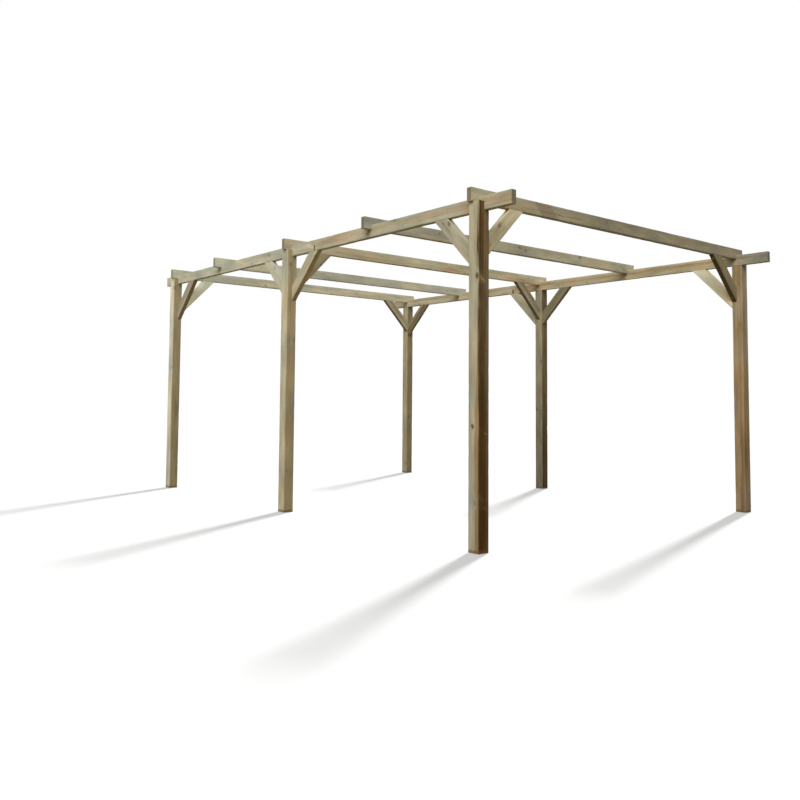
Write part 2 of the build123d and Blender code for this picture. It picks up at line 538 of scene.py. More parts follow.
def face_offsets(timber, face, flat, pitch):
    """Offsets of a face's points from its middle, with three for each drying check.

    Each comes with the number of its check and its side of it, or with None.
    """
    count = max(2, round(2 * flat / pitch)) + 1
    offsets = [(offset, None, 0) for offset in np.linspace(-flat, flat, count)]
    for number, check in enumerate(timber.checks):
        if check.face != face:
            continue
        clear = 0.5 * pitch
        inner = [row for row in offsets[1:-1] if abs(row[0] - check.offset) > clear]
        lips = [(check.offset + side * check.width / 2, number, side) for side in (-1, 0, 1)]
        offsets = [offsets[0]] + sorted(inner + lips) + [offsets[-1]]
    return offsets


RingPoint = namedtuple("RingPoint", "u v out_u out_v side_u side_v arris corner check lip")


def section_ring(timber, sizes):
    """Points round a timber's section, each face followed by its rounded corner."""
    ring = []
    radius = timber.arris
    for face, (out_u, out_v) in enumerate(FACES):
        side_u, side_v = -out_v, out_u
        reach = timber.half_wide if out_u else timber.half_thin
        flat = (timber.half_thin if out_u else timber.half_wide) - radius
        offsets = face_offsets(timber, face, flat, sizes.face_pitch)
        for number, (offset, check, lip) in enumerate(offsets):
            last = number == len(offsets) - 1
            corner = face if last else face - 1
            at_edge = FACE_EDGE_MARK if last or number == 0 else 0.0
            ring.append(RingPoint(out_u * reach + side_u * offset, out_v * reach + side_v * offset,
                                  out_u, out_v, side_u, side_v, at_edge, corner % len(FACES), check, lip))
        middle_u = out_u * (reach - radius) + side_u * flat
        middle_v = out_v * (reach - radius) + side_v * flat
        for step in range(1, sizes.arris_steps):
            turn = math.pi / 2 * step / sizes.arris_steps
            turned_u = out_u * math.cos(turn) + side_u * math.sin(turn)
            turned_v = out_v * math.cos(turn) + side_v * math.sin(turn)
            ring.append(RingPoint(middle_u + radius * turned_u, middle_v + radius * turned_v, turned_u,
                                  turned_v, 0.0, 0.0, math.sin(2 * turn), face, None, 0))
    return ring


def ring_stations(timber, sizes):
    """Places of the rings along a timber: (s, inset, number of the span)."""
    stations = []
    last_span = len(timber.spans) - 1
    for number, (start, end, _) in enumerate(timber.spans):
        count = max(1, math.ceil((end - start) / sizes.station_pitch)) + 1
        places = [(s, 0.0, number) for s in np.linspace(start, end, count)]
        if number == 0 and timber.eased_ends[0]:
            places[:1] = [(start, sizes.end_ease, number), (start + sizes.end_ease, 0.0, number)]
        if number == last_span and timber.eased_ends[1]:
            places[-1:] = [(end - sizes.end_ease, 0.0, number), (end, sizes.end_ease, number)]
        stations += places
    return stations


def column(ring, name):
    """One field of every ring point, as an array."""
    return np.array([getattr(point, name) for point in ring], dtype=float)


def surface_of(timber, ring, stations):
    """Places (s, u, v) of every point of the skin, with its wear and check marks."""
    s = np.array([station[0] for station in stations])[:, None]
    inset = np.array([station[1] for station in stations])[:, None]
    arris = column(ring, "arris")
    corner = column(ring, "corner")
    inward = inset + 0.0 * arris
    wear = 0.0 * s + ARRIS_WEAR * arris
    for bite in timber.bites:
        dent = np.exp(-((s - bite.place) / bite.reach) ** 2) * arris * (corner == bite.corner)
        inward = inward + bite.depth * dent
        wear = wear + KNOCK_WEAR * dent
    slide = np.zeros_like(inward)
    crack = np.zeros_like(inward)
    for number, check in enumerate(timber.checks):
        lips = np.array([point.lip if point.check == number else np.nan for point in ring])
        share = np.clip((s - check.start) / (check.end - check.start), 0.0, 1.0)
        swell = np.sin(math.pi * share) ** CHECK_SWELL
        on_check = ~np.isnan(lips)
        side = np.nan_to_num(lips)
        meander = sum(stray * np.sin(s * pace + times * check.phase) for stray, pace, times in CHECK_WAVES)
        slide = slide + on_check * (meander - side * check.width * CHECK_CLOSE * (1.0 - swell))
        # The bottom of a check is sunk, and marked to be painted dark as shade
        bottom = on_check * (side == 0.0) * swell
        inward = inward + check.depth * bottom
        crack = crack + bottom
    u = column(ring, "u") - inward * column(ring, "out_u") + slide * column(ring, "side_u")
    v = column(ring, "v") - inward * column(ring, "out_v") + slide * column(ring, "side_v")
    for number, (_, _, kept) in enumerate(timber.spans):
        rows = np.array([station[2] == number for station in stations])
        u[rows] = np.clip(u[rows], kept[0], kept[1])
        v[rows] = np.clip(v[rows], kept[2], kept[3])
    s = s + timber.mitre * u * (2.0 * s / timber.length - 1.0)
    return s, u, v, np.clip(wear, 0.0, 1.0), np.clip(crack, 0.0, 1.0)


def shoulder_faces(places, near_row, far_row, count):
    """The face across a step in the section, between two rings at the same place along it."""
    moved = np.abs(places[near_row] - places[far_row]).max(axis=1) > 1.0 / MERGE_STEPS
    if not moved.any():
        return []
    first = next(k for k in range(count) if moved[k] and not moved[k - 1])
    run = []
    while moved[(first + len(run)) % count]:
        run.append((first + len(run)) % count)
    chain = [(run[0] - 1) % count] + run + [(run[-1] + 1) % count]
    return [[near_row * count + k for k in chain] + [far_row * count + k for k in reversed(run)]]


def cap_faces(ring_rows, centre, count, facing):
    """Faces over a sawn end, from the outer ring of points in to the centre."""
    faces = []
    for outer, inner in zip(ring_rows, ring_rows[1:]):
        for k in range(count):
            after = (k + 1) % count
            faces.append([outer + k, outer + after, inner + after, inner + k])
    for k in range(count):
        faces.append([ring_rows[-1] + k, ring_rows[-1] + (k + 1) % count, centre])
    return faces if facing > 0 else [face[::-1] for face in faces]


def skin_timber(timber, sizes):
    """Points, faces and marks of a timber's closed skin."""
    ring = section_ring(timber, sizes)
    stations = ring_stations(timber, sizes)
    count = len(ring)
    s, u, v, wear, crack = surface_of(timber, ring, stations)
    grid = np.stack([s, u, v], axis=-1)

    faces = []
    at_end = []
    for row in range(len(stations) - 1):
        if stations[row][2] != stations[row + 1][2]:
            step = shoulder_faces(grid, row, row + 1, count)
            faces += step
            at_end += [1.0] * len(step)
            continue
        for k in range(count):
            after = (k + 1) % count
            near, far = row * count, (row + 1) * count
            faces.append([near + k, near + after, far + after, far + k])
            at_end.append(0.0)

    points = [grid.reshape(-1, 3)]
    wear_marks = [wear.reshape(-1)]
    crack_marks = [crack.reshape(-1)]
    total = len(points[0])
    for row, facing in ((0, -1), (len(stations) - 1, 1)):
        outline = grid[row]
        middle = outline.mean(axis=0)
        ring_rows = [row * count]
        for share in CAP_SHARES:
            points.append(middle + share * (outline - middle))
            ring_rows.append(total)
            total += count
        points.append(middle[None, :])
        caps = cap_faces(ring_rows, total, count, facing)
        total += 1
        faces += caps
        at_end += [1.0] * len(caps)
        spare = len(CAP_SHARES) * count + 1
        wear_marks.append(np.zeros(spare))
        crack_marks.append(np.zeros(spare))
    return np.concatenate(points), faces, at_end, np.concatenate(wear_marks), np.concatenate(crack_marks)


def merge_points(points, faces, at_end):
    """Merge points that fall together and drop the faces that vanish with them."""
    keys = np.round(points * MERGE_STEPS).astype(np.int64)
    _, kept, number = np.unique(keys, axis=0, return_index=True, return_inverse=True)
    number = number.reshape(-1)
    merged = []
    merged_end = []
    for face, end in zip(faces, at_end):
        loop = [int(number[k]) for k in face]
        loop = [k for place, k in enumerate(loop) if k != loop[place - 1]]
        if len(set(loop)) >= 3:
            merged.append(loop)
            merged_end.append(end)
    return kept, merged, merged_end


def write_attribute(mesh, name, kind, domain, values):
    """Store one value for each point, corner or face of a mesh."""
    attribute = mesh.attributes.new(name, kind, domain)
    field = "vector" if kind == "FLOAT_VECTOR" else "value"
    attribute.data.foreach_set(field, np.ascontiguousarray(values, dtype=np.float32).reshape(-1))


def branch_offsets(points, turn, place):
    """Offsets of points from a branch: out along it, to its side, and up the timber from it."""
    ahead = points[:, 0] * np.cos(turn) + points[:, 1] * np.sin(turn)
    aside = points[:, 1] * np.cos(turn) - points[:, 0] * np.sin(turn)
    above = points[:, 2] - place - BRANCH_CLIMB * (ahead - KNOT_REACH)
    return ahead, aside, above


def knot_offsets(timber, mesh, from_pith):
    """For each corner of each face, its offset from the face's nearest knot: sideways, along, and its size.

    The second array is how dark that knot is.
    """
    loop_points = np.zeros(len(mesh.loops), dtype=np.int32)
    mesh.loops.foreach_get("vertex_index", loop_points)
    starts = np.zeros(len(mesh.polygons), dtype=np.int32)
    totals = np.zeros(len(mesh.polygons), dtype=np.int32)
    mesh.polygons.foreach_get("loop_start", starts)
    mesh.polygons.foreach_get("loop_total", totals)
    loop_face = np.repeat(np.arange(len(mesh.polygons)), totals)
    corners = from_pith[loop_points]
    middles = np.add.reduceat(corners, starts, axis=0) / totals[:, None]

    best = np.full(len(mesh.polygons), np.inf)
    chosen = np.zeros(len(mesh.polygons), dtype=np.int32)
    for number, knot in enumerate(timber.knots):
        ahead, aside, above = branch_offsets(middles, knot.turn, knot.place)
        far = np.hypot(aside, above) + np.where(ahead > 0.0, 0.0, 1.0)
        nearer = far < best
        best[nearer] = far[nearer]
        chosen[nearer] = number
    turn, place, radius, depth = np.array(timber.knots)[chosen][loop_face].T
    size = np.where(best[loop_face] < FARTHEST_KNOT, radius, UNSEEN_KNOT)
    ahead, aside, above = branch_offsets(corners, turn, place)
    size = size * np.clip(ahead / TAPER_REACH, *TAPER_LIMITS)
    return np.stack([aside, above, size], axis=-1), depth


def mark_timber(mesh, timber, s, u, v, wear, crack):
    """Store what the pine's colour follows: the grain, how it was sawn, its wear, knots and strap, with
    painted light on its left face and painted light and shade on its underside.
    """
    cut = timber.cut
    wood = timber.wood
    wide = u / timber.half_wide
    thin = v / timber.half_thin
    near = np.exp(-(s / wood.fade) ** 2)
    leftward = np.clip(LEAN_STEEP * (thin - wide), -0.5, 0.5)
    below = np.clip((wood.under * wide - UNDERSIDE_START) / UNDERSIDE_BLEND, 0.0, 1.0)
    underside_painted_tone, underside_painted_green = UNDERSIDE_PAINTED_LIGHT.get(timber.name, wood.underside)
    to_edge = np.clip((np.abs(wide) - EDGE_START) / (1.0 - EDGE_START), 0.0, 1.0)
    edge_green = wood.edge_green * to_edge ** 2 * np.where(u > 0.0, 1.0, LOWER_EDGE_GREEN)

    # Painted light: the left face is made paler than the front
    tone = cut.tone * (1.0 - (1.0 - cut.near_tone) * near) * (1.0 + cut.lean * leftward)
    # Painted light and shade: an underside is made lighter or darker
    tone = tone * (1.0 + (underside_painted_tone - 1.0) * below)
    heart_radius = cut.heart_radius + cut.near_radius * near
    heart_depth = cut.heart_depth + cut.near_depth * near - cut.heart_lean * wide
    # The green added on an underside is painted light too, the colour of the light that reaches it
    green = (cut.green + cut.near_green * near + edge_green + cut.green_lean * leftward
             + underside_painted_green * below)
    from_pith = np.stack([u - cut.pith_wide * timber.half_wide, v - cut.pith_thin * timber.half_thin, s],
                         axis=-1)
    write_attribute(mesh, "grain", "FLOAT_VECTOR", "POINT", from_pith + (0.0, 0.0, timber.grain_start))
    write_attribute(mesh, "cut", "FLOAT_VECTOR", "POINT",
                    np.stack([heart_radius, heart_depth, green], axis=-1))
    write_attribute(mesh, "marks", "FLOAT_VECTOR", "POINT", np.stack([wear, crack, tone], axis=-1))
    offsets, depths = knot_offsets(timber, mesh, from_pith)
    write_attribute(mesh, "knot", "FLOAT_VECTOR", "CORNER", offsets)
    write_attribute(mesh, "knot_depth", "FLOAT", "CORNER", depths)
    strap = STRAPS.get(timber.name)
    if strap:
        across = (s - strap.place - strap.slant * u) / strap.half_width
        write_attribute(mesh, "strap", "FLOAT", "POINT", STRAP_BASE + across)


def add_object(name, data):
    """Put an object into the scene."""
    added = bpy.data.objects.new(name, data)
    bpy.context.scene.collection.objects.link(added)
    return added


def add_piece(name, mesh, material, sharp_angle):
    """Put a finished mesh into the scene as a piece of the frame."""
    mesh.shade_smooth()
    mesh.set_sharp_from_angle(angle=sharp_angle)
    mesh.materials.append(material)
    piece = add_object(name, mesh)
    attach(piece, "root")
    return piece


def build_timber(timber, sizes):
    """Make the mesh that stands for one timber of the frame."""
    give_character(timber, sizes)
    points, faces, at_end, wear, crack = skin_timber(timber, sizes)
    kept, faces, at_end = merge_points(points, faces, at_end)
    s, u, v = points[kept].T

    mesh = bpy.data.meshes.new(timber.name + "_skin")
    mesh.from_pydata(timber.place(s, u, v).tolist(), [], faces)
    if mesh.validate():
        raise RuntimeError(f"the skin of {timber.name} isn't a clean mesh")
    mark_timber(mesh, timber, s, u, v, wear[kept], crack[kept])
    write_attribute(mesh, "end_grain", "FLOAT", "FACE", np.array(at_end))

    piece = add_piece(timber.name + "_timber", mesh, timber_material(timber.kind), TIMBER_SHARP)
    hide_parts(timber.name)


# Nodes of a tree lie in rows of this many, this far apart across and down
NODES_IN_ROW = 12
NODE_STEP = (180, 220)


class Wiring:
    """Places nodes in a node tree and links them."""

    def __init__(self, tree):
        self.tree = tree
        tree.nodes.clear()

    def put(self, kind, inputs=(), **settings):
        """Place a node with its settings, and feed its inputs in order or by name."""
        node = self.tree.nodes.new(kind)
        down, across = divmod(len(self.tree.nodes), NODES_IN_ROW)
        node.location = (NODE_STEP[0] * across, -NODE_STEP[1] * down)
        for name, value in settings.items():
            setattr(node, name, value)
        for socket, value in inputs.items() if isinstance(inputs, dict) else enumerate(inputs):
            self.feed(node.inputs[socket], value)
        return node

    def feed(self, socket, value):
        """Link a socket to another one, or set its value."""
        if isinstance(value, bpy.types.NodeSocket):
            self.tree.links.new(value, socket)
        elif hasattr(value, "__len__") and len(value) == 3 and len(socket.default_value) == 4:
            socket.default_value = (*value, 1.0)
        else:
            socket.default_value = value

    def math(self, operation, *values, clamp=False):
        return self.put("ShaderNodeMath", values, operation=operation, use_clamp=clamp).outputs[0]

    def vector(self, operation, *values):
        node = self.put("ShaderNodeVectorMath", values, operation=operation)
        return node.outputs["Value" if operation == "LENGTH" else "Vector"]

    def split(self, vector):
        return tuple(self.put("ShaderNodeSeparateXYZ", (vector,)).outputs)

    def join(self, x, y, z):
        return self.put("ShaderNodeCombineXYZ", (x, y, z)).outputs[0]

    def noise(self, vector, detail=2.0, roughness=0.5):
        inputs = {"Vector": vector, "Scale": 1.0, "Detail": detail, "Roughness": roughness}
        return self.put("ShaderNodeTexNoise", inputs).outputs[0]

    def grained(self, grain, noise):
        """A noise that is drawn out along the grain."""
        stretched = self.vector("MULTIPLY", grain, (noise.across, noise.across, noise.along))
        return self.noise(stretched, noise.detail, noise.roughness)

    def ramp(self, value, start, end):
        """A smooth step from 0 at start to 1 at end."""
        inputs = {"Value": value, "From Min": start, "From Max": end}
        return self.put("ShaderNodeMapRange", inputs, interpolation_type="SMOOTHSTEP").outputs[0]

    def mix(self, share, first, second, blend="MIX"):
        inputs = {0: share, 6: first, 7: second}
        return self.put("ShaderNodeMix", inputs, data_type="RGBA", blend_type=blend).outputs[2]

    def attribute(self, name, output="Vector"):
        return self.put("ShaderNodeAttribute", attribute_name=name).outputs[output]

    def group(self, tree, inputs):
        """Place a node group and give its outputs."""
        return self.put("ShaderNodeGroup", inputs, node_tree=tree).outputs

    def surface(self, shader, output="ShaderNodeOutputMaterial"):
        """Link a shader to the output of its tree."""
        self.put(output, {"Surface": shader.outputs[0]})


# Noises that follow the grain: how fine each is across and along it, per metre, its detail and roughness
GrainNoise = namedtuple("GrainNoise", "across along detail roughness", defaults=(2.0, 0.5))
RAGGED_KNOTS = GrainNoise(240.0, 110.0)
UNEVEN_RINGS = GrainNoise(34.0, 2.2, 3.0)
FLUSH = GrainNoise(11.0, 2.1)
SPECKS = GrainNoise(190.0, 95.0, 1.0)
FIGURE_NOISES = {
    "Band": GrainNoise(42.0, 0.55),
    "Streak": GrainNoise(85.0, 1.7, 4.0, 0.6),
    "Fibre": GrainNoise(1300.0, 26.0),
    "Blotch": GrainNoise(16.0, 3.6, 3.0, 0.55),
}

# What the figure puts out, what of it the wear takes up, and the colours that each group takes
FIGURE_PARTS = ("Ring", "Heart", "Heart core", "Pale knots", "Streak", "Band", "Fibre", "Blotch", "Flush",
                "Whorl", "Knot core", "Knot rim", "Knot flow")
WEAR_PARTS = ("Ring", "Heart", "Fibre", "Blotch", "Knot core")
PINE_COLOURS = ("Sap pale", "Sap tan", "Rosy", "Heart tan", "Heart brown", "Treatment", "Knot brown")
WEAR_COLOURS = ("Weathered", "Rosy", "Crack dark", "End grey")

SOCKET_KINDS = {"value": "NodeSocketFloat", "vector": "NodeSocketVector", "colour": "NodeSocketColor"}


def start_group(name, inputs, outputs):
    """A new shader node group whose sockets are listed by kind: its wiring, its inputs and its outputs."""
    tree = bpy.data.node_groups.new(name, "ShaderNodeTree")
    for direction, sockets in (("INPUT", inputs), ("OUTPUT", outputs)):
        for kind, names in sockets.items():
            for socket in names:
                tree.interface.new_socket(name=socket, in_out=direction, socket_type=SOCKET_KINDS[kind])
    wiring = Wiring(tree)
    given = wiring.put("NodeGroupInput").outputs
    asked = wiring.put("NodeGroupOutput").inputs
    return wiring, given, asked


def figure_group():
    """Growth rings, heartwood, streaks and fibres about a wandering pith, bent round the knots."""
    tree = bpy.data.node_groups.get("Pine figure")
    if tree:
        return tree
    w, given, asked = start_group(
        "Pine figure", {"vector": ("Grain", "Knot"), "value": ("Heart radius", "Ring pitch", "Wander")},
        {"value": FIGURE_PARTS})
    x, y, z = w.split(given["Grain"])
    aside, ahead, size = w.split(given["Knot"])

    # Knots: ovals a little longer along the grain, with the wood flowing round them
    ragged = w.grained(given["Grain"], RAGGED_KNOTS)
    reach = w.math("SQRT", w.math("ADD", w.math("POWER", aside, 2.0),
                                  w.math("POWER", w.math("MULTIPLY", ahead, 0.72), 2.0)))
    ratio = w.math("DIVIDE", reach, w.math("MAXIMUM", size, 0.0001))
    ratio = w.math("ADD", ratio, w.math("MULTIPLY_ADD", ragged, 0.5, -0.25))
    core = w.ramp(ratio, 1.18, 0.50)
    rim = w.math("MULTIPLY", w.ramp(ratio, 1.55, 1.05), w.ramp(ratio, 0.55, 0.95))
    flow = w.math("EXPONENT", w.math("MULTIPLY", w.math("POWER", ratio, 2.0), -0.16))
    away = w.math("MULTIPLY", w.math("POWER", w.math("DIVIDE", ahead, 0.11), 2.0), -1.0)
    w.feed(asked["Whorl"], w.math("EXPONENT", away))
    w.feed(asked["Knot core"], core)
    w.feed(asked["Knot rim"], rim)
    w.feed(asked["Knot flow"], flow)

    # Distance from the pith, which wanders along the stem
    drift = w.noise(w.join(0.0, 0.0, w.math("MULTIPLY", z, 1.1)), 1.0)
    drift_across = w.noise(w.join(7.0, 3.0, w.math("MULTIPLY", z, 0.9)), 1.0)
    shifted = w.join(
        w.math("ADD", x, w.math("MULTIPLY", w.math("SUBTRACT", drift, 0.5), given["Wander"])),
        w.math("ADD", y, w.math("MULTIPLY", w.math("SUBTRACT", drift_across, 0.5), given["Wander"])), 0.0)
    uneven = w.grained(given["Grain"], UNEVEN_RINGS)
    radius = w.math("ADD", w.vector("LENGTH", shifted), w.math("MULTIPLY_ADD", uneven, 0.014, -0.007))
    radius = w.math("ADD", radius, w.math("MULTIPLY", flow, 0.007))
    turns = w.math("FRACT", w.math("DIVIDE", radius, given["Ring pitch"]))
    w.feed(asked["Ring"], w.math("MULTIPLY", w.ramp(turns, 0.30, 0.88), w.ramp(turns, 1.0, 0.93)))

    # The heartwood, and in it a core, flattened in the wide way, that is thinner where the heartwood is wide
    inside = w.math("SUBTRACT", given["Heart radius"], radius)
    w.feed(asked["Heart"], w.ramp(inside, -0.003, 0.004))
    across, through, _ = w.split(shifted)
    flattened = w.vector("LENGTH", w.join(w.math("MULTIPLY", across, 0.3), through, 0.0))
    limit = w.math("MAXIMUM", w.math("MULTIPLY_ADD", given["Heart radius"], -2.0, 0.189), 0.023)
    w.feed(asked["Pale knots"], w.ramp(flattened, 0.0248, 0.0228))
    flattened = w.math("ADD", flattened, w.math("MULTIPLY_ADD", uneven, 0.010, -0.005))
    w.feed(asked["Heart core"], w.ramp(w.math("SUBTRACT", limit, flattened), -0.0025, 0.0025))

    for name, noise in FIGURE_NOISES.items():
        w.feed(asked[name], w.grained(given["Grain"], noise))
    w.feed(asked["Flush"], w.grained(w.vector("ADD", given["Grain"], (3.0, 5.0, 11.0)), FLUSH))
    return w.tree


def colour_group():
    """Colour of treated pine from its figure: sapwood, heartwood, green cast and knots."""
    tree = bpy.data.node_groups.get("Pine colour")
    if tree:
        return tree
    w, given, asked = start_group(
        "Pine colour",
        {"value": (*FIGURE_PARTS, "Knot depth", "Heart depth", "Green", "Tone"), "colour": PINE_COLOURS},
        {"colour": ("Colour",)})
    streaked = w.ramp(given["Streak"], 0.40, 0.70)
    tanned = w.math("MULTIPLY_ADD", given["Ring"], 0.34, w.math("MULTIPLY", streaked, 0.52))
    tanned = w.math("SUBTRACT", tanned, w.math("MINIMUM", given["Green"], 0.0), clamp=True)
    sap = w.mix(tanned, given["Sap pale"], given["Sap tan"])
    greened = w.math("MAXIMUM", given["Green"], 0.0)
    blushing = w.math("MULTIPLY_ADD", w.math("MINIMUM", given["Green"], 0.0), 0.6,
                      w.math("MULTIPLY_ADD", greened, -0.45, 0.75), clamp=True)
    rosy = w.math("MULTIPLY", w.ramp(given["Flush"], 0.47, 0.66), blushing)
    rosy = w.math("MULTIPLY", rosy, w.math("MULTIPLY_ADD", given["Whorl"], -0.8, 1.0))
    sap = w.mix(rosy, sap, given["Rosy"])
    browned = w.math("MULTIPLY_ADD", w.math("SUBTRACT", given["Streak"], 0.5), 0.9, given["Heart depth"])
    browned = w.math("MULTIPLY_ADD", w.math("SUBTRACT", given["Band"], 0.5), 1.4, browned)
    browned = w.math("MULTIPLY_ADD", given["Ring"], 0.20, browned)
    paler = w.math("MULTIPLY", browned, -1.0, clamp=True)
    browned = w.math("MULTIPLY", browned, given["Heart core"], clamp=True)
    heart = w.mix(paler, w.mix(browned, given["Heart tan"], given["Heart brown"]), given["Rosy"])
    wood = w.mix(given["Heart"], sap, heart)

    # The treatment's green lies in patches, and more of it about the knots
    cast = w.math("MULTIPLY", greened, w.ramp(given["Flush"], 0.72, 0.32))
    cast = w.math("MULTIPLY_ADD", given["Whorl"], 0.30, cast, clamp=True)
    refused = w.math("MULTIPLY_ADD", w.math("MAXIMUM", given["Heart depth"], 0.0), 0.65, 0.2)
    refused = w.math("MINIMUM", w.math("MULTIPLY", refused, given["Heart"]), 0.85)
    cast = w.math("MULTIPLY", cast, w.math("SUBTRACT", 0.85, refused))
    wood = w.mix(cast, wood, given["Treatment"])

    swirl = w.math("MULTIPLY", given["Knot flow"], given["Knot depth"])
    wood = w.mix(w.math("MULTIPLY", swirl, 0.55), wood, given["Heart tan"])
    rim = w.mix(w.math("MULTIPLY", given["Heart"], given["Heart depth"], clamp=True),
                given["Heart brown"], given["Heart tan"])
    ringed = w.math("MULTIPLY", given["Knot rim"], w.math("MULTIPLY_ADD", given["Knot depth"], 0.4, 0.2))
    wood = w.mix(ringed, wood, rim)
    cored = w.math("MULTIPLY", given["Knot core"], w.math("MULTIPLY_ADD", given["Knot depth"], 0.65, 0.2))
    pale_core = w.math("MULTIPLY", w.math("MULTIPLY", given["Pale knots"], given["Heart"]),
                       w.math("MULTIPLY", given["Heart depth"], 0.9, clamp=True))
    wood = w.mix(cored, wood, w.mix(pale_core, given["Knot brown"], given["Sap tan"]))
    grainy = w.math("MULTIPLY_ADD", given["Fibre"], 0.36, 0.82)
    patchy = w.math("MULTIPLY_ADD", given["Blotch"], 1.0, 0.5)
    shade = w.math("MULTIPLY", w.math("MULTIPLY", grainy, patchy), given["Tone"])
    w.feed(asked["Colour"], w.vector("MULTIPLY", wood, w.join(shade, shade, shade)))
    return w.tree


def wear_group():
    """Checks painted dark as shade, bruised arrises, dark end grain and grey weathering over a timber's
    colour.
    """
    tree = bpy.data.node_groups.get("Timber wear")
    if tree:
        return tree
    w, given, asked = start_group(
        "Timber wear",
        {"colour": ("Colour", *WEAR_COLOURS), "vector": ("Grain", "Marks"),
         "value": (*WEAR_PARTS, "End grain", "Strap", "Weather")},
        {"colour": ("Colour",), "value": ("Roughness", "Height")})
    wear, crack, _ = w.split(given["Marks"])
    normal = w.put("ShaderNodeNewGeometry").outputs["Normal"]
    upward = w.split(normal)[2]

    # Grey where rain stands, in patches of the sapwood and along bruised arrises
    patchy = w.math("MULTIPLY", w.ramp(given["Blotch"], 0.32, 0.68),
                    w.math("MULTIPLY_ADD", given["Heart"], -0.9, 1.0))
    grey = w.math("MULTIPLY_ADD", w.ramp(upward, 0.2, 0.9), 0.55, w.math("MULTIPLY", patchy, 0.10))
    grey = w.math("MULTIPLY", grey, given["Weather"])
    colour = w.mix(grey, given["Colour"], given["Weathered"])
    # A strap kept the wood under it rosy and left two pale edges
    off_strap = w.math("ABSOLUTE", w.math("SUBTRACT", given["Strap"], STRAP_BASE))
    off_strap = w.math("MULTIPLY_ADD", given["Fibre"], 0.10, off_strap)
    under = w.math("MULTIPLY", w.ramp(off_strap, 1.05, 0.95), 0.6)
    colour = w.mix(under, colour, w.mix(1.0, given["Rosy"], (0.60, 0.60, 0.66), "MULTIPLY"))
    edge = w.math("MULTIPLY", w.ramp(off_strap, 0.96, 1.04), w.ramp(off_strap, 1.22, 1.12))
    colour = w.mix(w.math("MULTIPLY", edge, 0.85), colour, given["Weathered"])
    bruise = w.math("MULTIPLY", wear, w.math("MULTIPLY_ADD", given["Fibre"], 0.5, 0.05))
    colour = w.mix(w.math("MULTIPLY", bruise, 0.7), colour, given["Weathered"])

    # Sawn ends: dark, ringed and cracked outwards from the pith; and the bottoms of the drying checks
    # painted dark as shade
    x, y, _ = w.split(given["Grain"])
    spoke = w.vector("NORMALIZE", w.join(x, y, 0.0))
    splits = w.ramp(w.noise(w.vector("MULTIPLY", spoke, (6.5, 6.5, 1.0)), 2.0), 0.61, 0.66)
    end_share = w.math("MULTIPLY_ADD", given["Ring"], 0.25, 0.62)
    ended = w.mix(w.math("MULTIPLY", end_share, given["End grain"]), colour, given["End grey"])
    dark = w.math("MAXIMUM", w.ramp(crack, 0.08, 0.55),
                  w.math("MULTIPLY", w.math("MULTIPLY", splits, given["End grain"]), 0.8))
    colour = w.mix(w.math("MULTIPLY", dark, 0.92), ended, given["Crack dark"])

    # Fine specks of dirt
    specks = w.grained(given["Grain"], SPECKS)
    colour = w.mix(w.math("MULTIPLY", w.ramp(specks, 0.68, 0.76), 0.4), colour, given["Crack dark"])
    w.feed(asked["Colour"], colour)

    rough = w.math("MULTIPLY_ADD", given["Fibre"], 0.22, 0.60)
    rough = w.math("MULTIPLY_ADD", given["Ring"], -0.10, rough)
    w.feed(asked["Roughness"], w.math("MULTIPLY_ADD", dark, 0.2, rough, clamp=True))
    height = w.math("MULTIPLY_ADD", given["Ring"], 0.5, w.math("MULTIPLY", given["Fibre"], 0.6))
    height = w.math("MULTIPLY_ADD", given["Knot core"], 0.35, height)
    w.feed(asked["Height"], w.math("SUBTRACT", height, w.math("MULTIPLY", splits, given["End grain"])))
    return w.tree


def finish_colours(names):
    """Colours of the finish, for sockets of the same names."""
    finish = bpy.context.scene.carport_finish
    return {name: getattr(finish, name.lower().replace(" ", "_")) for name in names}


def start_material(name):
    """A new material and its wiring."""
    material = bpy.data.materials.new(name)
    material.use_nodes = True
    return material, Wiring(material.node_tree)


def timber_material(kind):
    """Treated pine for one kind of timber."""
    name = f"{kind.capitalize()} pine"
    material = bpy.data.materials.get(name)
    if material:
        return material
    wood = WOODS[kind]
    material, w = start_material(name)
    grain = w.attribute("grain")
    marks = w.attribute("marks")
    heart_radius, heart_depth, green = w.split(w.attribute("cut"))

    figure = w.group(figure_group(), {
        "Grain": grain, "Knot": w.attribute("knot"), "Heart radius": heart_radius,
        "Ring pitch": wood.ring_pitch, "Wander": wood.wander})
    pine = w.group(colour_group(), {
        **{part: figure[part] for part in FIGURE_PARTS}, **finish_colours(PINE_COLOURS),
        "Knot depth": w.attribute("knot_depth", "Fac"), "Heart depth": heart_depth, "Green": green,
        "Tone": w.split(marks)[2]})
    worn = w.group(wear_group(), {
        **{part: figure[part] for part in WEAR_PARTS}, **finish_colours(WEAR_COLOURS),
        "Colour": pine["Colour"], "Grain": grain, "Marks": marks, "Weather": wood.weather,
        "End grain": w.attribute("end_grain", "Fac"), "Strap": w.attribute("strap", "Fac")})
    colour = worn["Colour"]
    # Darker towards the foot of a post
    if wood.splash:
        place = w.put("ShaderNodeTexCoord").outputs["Object"]
        height = w.math("MULTIPLY_ADD", figure["Streak"], wood.splash, w.split(place)[2])
        darkening = w.math("MULTIPLY", w.ramp(height, 1.5 * wood.splash, 0.9 * wood.splash), 0.7)
        colour = w.mix(darkening, colour, bpy.context.scene.carport_finish.footing_colour)

    bump = w.put("ShaderNodeBump", {"Strength": 0.45, "Distance": 0.0006, "Height": worn["Height"]})
    w.surface(w.put("ShaderNodeBsdfPrincipled", {
        "Base Color": colour, "Roughness": worn["Roughness"], "Specular IOR Level": 0.05,
        "Normal": bump.outputs[0]}))
    return material


